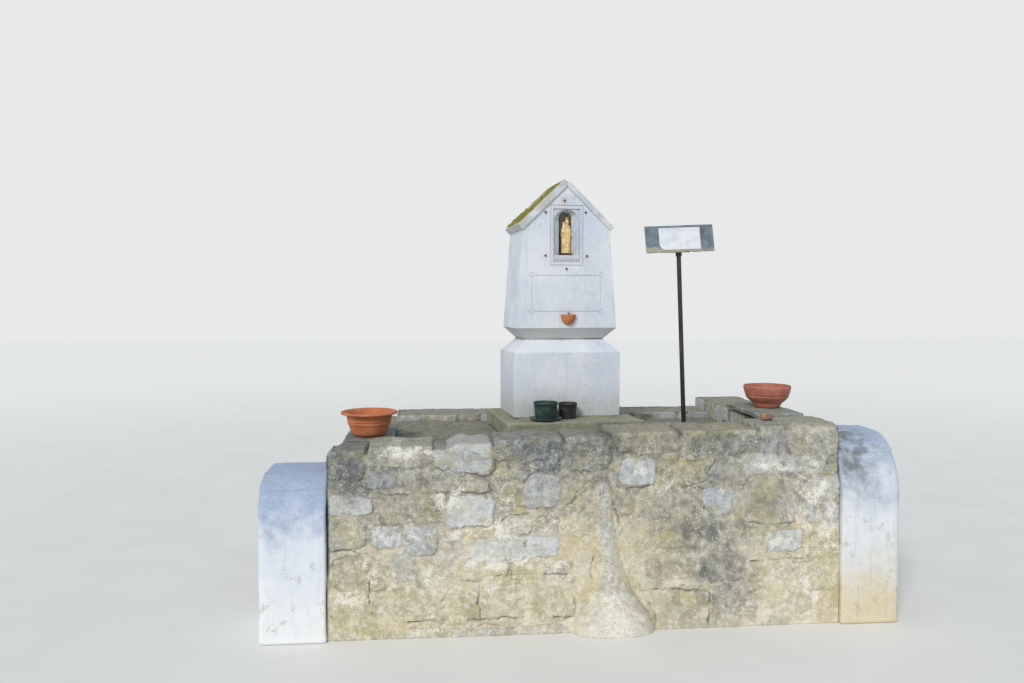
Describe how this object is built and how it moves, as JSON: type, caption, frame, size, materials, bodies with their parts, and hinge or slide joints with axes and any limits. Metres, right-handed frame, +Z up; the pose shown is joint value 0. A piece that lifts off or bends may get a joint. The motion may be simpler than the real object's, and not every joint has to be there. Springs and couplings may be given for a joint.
{
  "type": "wayside shrine",
  "caption": "Gabled stone wayside shrine with a statue niche, on a rubble masonry terrace with rounded end piers, plant bowls and a blank sign on a post.",
  "frame": {"origin": "on the ground, under the middle of the bounding box", "axes": "+X along the terrace front to the viewer's right, +Y away from the viewer, +Z up"},
  "size_m": [3.25, 1.6, 2.3483],
  "materials": {
    "rubble_masonry": "weathered rubble with smeared lime mortar",
    "cap_stone": "weathered, lichened",
    "whitewashed_render": "whitewash over render, streaked",
    "grey_render": "bare render",
    "whitewashed_stone": "whitewashed, weathered",
    "flagstone": "weathered",
    "concrete": "rough",
    "painted_figure": "matt painted",
    "dark_wood": "dark stained",
    "orange_terracotta": "unglazed",
    "red_terracotta": "unglazed",
    "dark_plastic": "dusty",
    "green_plastic": "dusty",
    "old_iron": "rusted",
    "post_paint": "satin black",
    "board_paint": "satin slate blue",
    "label_sheet": "matt, blank"
  },
  "bodies": {
    "root": {"back_wall": "rubble_masonry", "brick_fragment": "red_terracotta", "cap_stone_1": "cap_stone", "cap_stone_2": "cap_stone", "cap_stone_3": "cap_stone", "cap_stone_4": "cap_stone", "cap_stone_5": "cap_stone", "cap_stone_6": "cap_stone", "cap_stone_7": "cap_stone", "cap_stone_8": "cap_stone", "cap_stone_9": "cap_stone", "centre_buttress": "grey_render", "dark_pot": "dark_plastic", "front_wall_left": "rubble_masonry", "front_wall_right": "rubble_masonry", "green_pot": "green_plastic", "green_pot_saucer": "green_plastic", "grille_pins": "old_iron", "hearting": "rubble_masonry", "left_bowl": "orange_terracotta", "left_end_pier": "whitewashed_render", "left_flagstone": "flagstone", "left_return_wall": "rubble_masonry", "pedestal": "whitewashed_stone", "plinth_slab": "flagstone", "right_bowl": "red_terracotta", "right_end_pier": "whitewashed_render", "right_flagstone": "flagstone", "right_return_wall": "rubble_masonry", "roof_slab_left": "whitewashed_stone", "roof_slab_right": "whitewashed_stone", "sign_board": "board_paint", "sign_bracket": "post_paint", "sign_footing": "concrete", "sign_label": "label_sheet", "sign_post": "post_paint", "statue_figure": "painted_figure", "statue_plinth": "dark_wood", "stele_block": "whitewashed_stone", "wall_pot": "orange_terracotta", "wall_pot_nail": "old_iron"}
  },
  "joints": []
}
